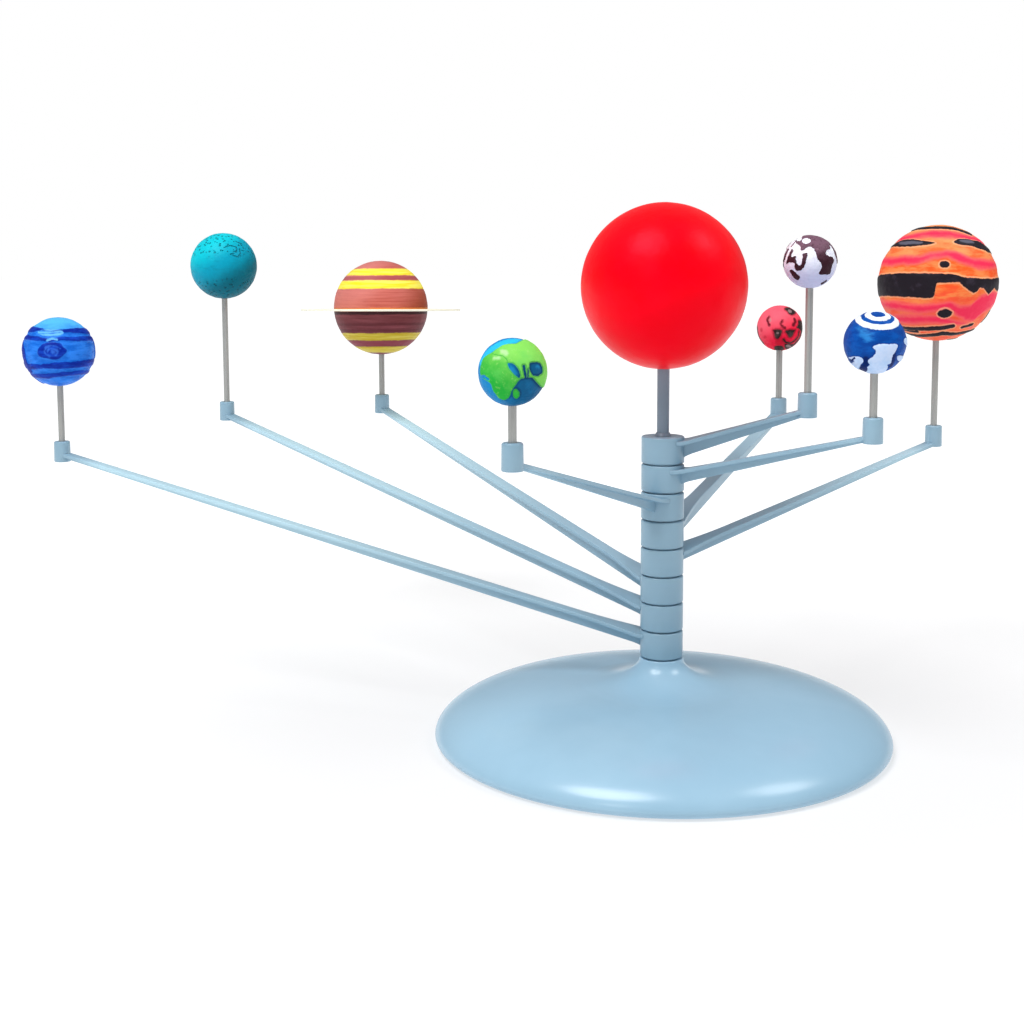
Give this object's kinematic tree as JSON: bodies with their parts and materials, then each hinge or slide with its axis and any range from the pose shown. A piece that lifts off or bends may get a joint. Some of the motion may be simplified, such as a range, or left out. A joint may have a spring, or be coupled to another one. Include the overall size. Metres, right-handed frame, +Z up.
{
  "type": "desk orrery",
  "caption": "Desk orrery: a round base and column whose stacked hub rings each swing one planet ball on an arm around a fixed Sun.",
  "frame": {"origin": "middle of the base's flat underside, on the column's axis", "axes": "+Z up along the column; +X to the right and +Y away from someone facing the model as it rests"},
  "size_m": [0.3717, 0.2704, 0.1764],
  "materials": {
    "moulding": "gloss",
    "rod_moulding": "satin",
    "pin_steel": "satin",
    "fastener_steel": "satin",
    "sun_paint": "satin",
    "mercury_paint": "satin",
    "venus_paint": "satin",
    "earth_paint": "satin",
    "mars_paint": "satin",
    "jupiter_paint": "satin",
    "saturn_paint": "satin",
    "uranus_paint": "satin",
    "neptune_paint": "satin",
    "ring_paint": "satin"
  },
  "bodies": {
    "base": {"base_shell": "moulding", "base_plate": "moulding", "plate_screws_set": "fastener_steel", "centre_rod": "rod_moulding", "rod_screw": "fastener_steel", "rod_washer": "fastener_steel", "rod_collar": "rod_moulding", "sun_ball": "sun_paint"},
    "mercury": {"mercury_arm": "moulding", "mercury_pin": "pin_steel", "mercury_ball": "mercury_paint"},
    "venus": {"venus_arm": "moulding", "venus_pin": "pin_steel", "venus_ball": "venus_paint"},
    "earth": {"earth_arm": "moulding", "earth_pin": "pin_steel", "earth_ball": "earth_paint"},
    "mars": {"mars_arm": "moulding", "mars_pin": "pin_steel", "mars_ball": "mars_paint"},
    "jupiter": {"jupiter_arm": "moulding", "jupiter_pin": "pin_steel", "jupiter_ball": "jupiter_paint"},
    "saturn": {"saturn_arm": "moulding", "saturn_pin": "pin_steel", "saturn_ball": "saturn_paint", "saturn_ring": "ring_paint"},
    "uranus": {"uranus_arm": "moulding", "uranus_pin": "pin_steel", "uranus_ball": "uranus_paint"},
    "neptune": {"neptune_arm": "moulding", "neptune_pin": "pin_steel", "neptune_ball": "neptune_paint"}
  },
  "joints": [
    {"name": "mercury_turn", "type": "hinge", "parent": "base", "child": "mercury", "pos_m": [0, 0, 0.03], "axis": [0, 0, 1], "continuous": true},
    {"name": "venus_turn", "type": "hinge", "parent": "base", "child": "venus", "pos_m": [0, 0, 0.03], "axis": [0, 0, 1], "continuous": true},
    {"name": "earth_turn", "type": "hinge", "parent": "base", "child": "earth", "pos_m": [0, 0, 0.03], "axis": [0, 0, 1], "continuous": true},
    {"name": "mars_turn", "type": "hinge", "parent": "base", "child": "mars", "pos_m": [0, 0, 0.03], "axis": [0, 0, 1], "continuous": true},
    {"name": "jupiter_turn", "type": "hinge", "parent": "base", "child": "jupiter", "pos_m": [0, 0, 0.03], "axis": [0, 0, 1], "continuous": true},
    {"name": "saturn_turn", "type": "hinge", "parent": "base", "child": "saturn", "pos_m": [0, 0, 0.03], "axis": [0, 0, 1], "continuous": true},
    {"name": "uranus_turn", "type": "hinge", "parent": "base", "child": "uranus", "pos_m": [0, 0, 0.03], "axis": [0, 0, 1], "continuous": true},
    {"name": "neptune_turn", "type": "hinge", "parent": "base", "child": "neptune", "pos_m": [0, 0, 0.03], "axis": [0, 0, 1], "continuous": true}
  ]
}
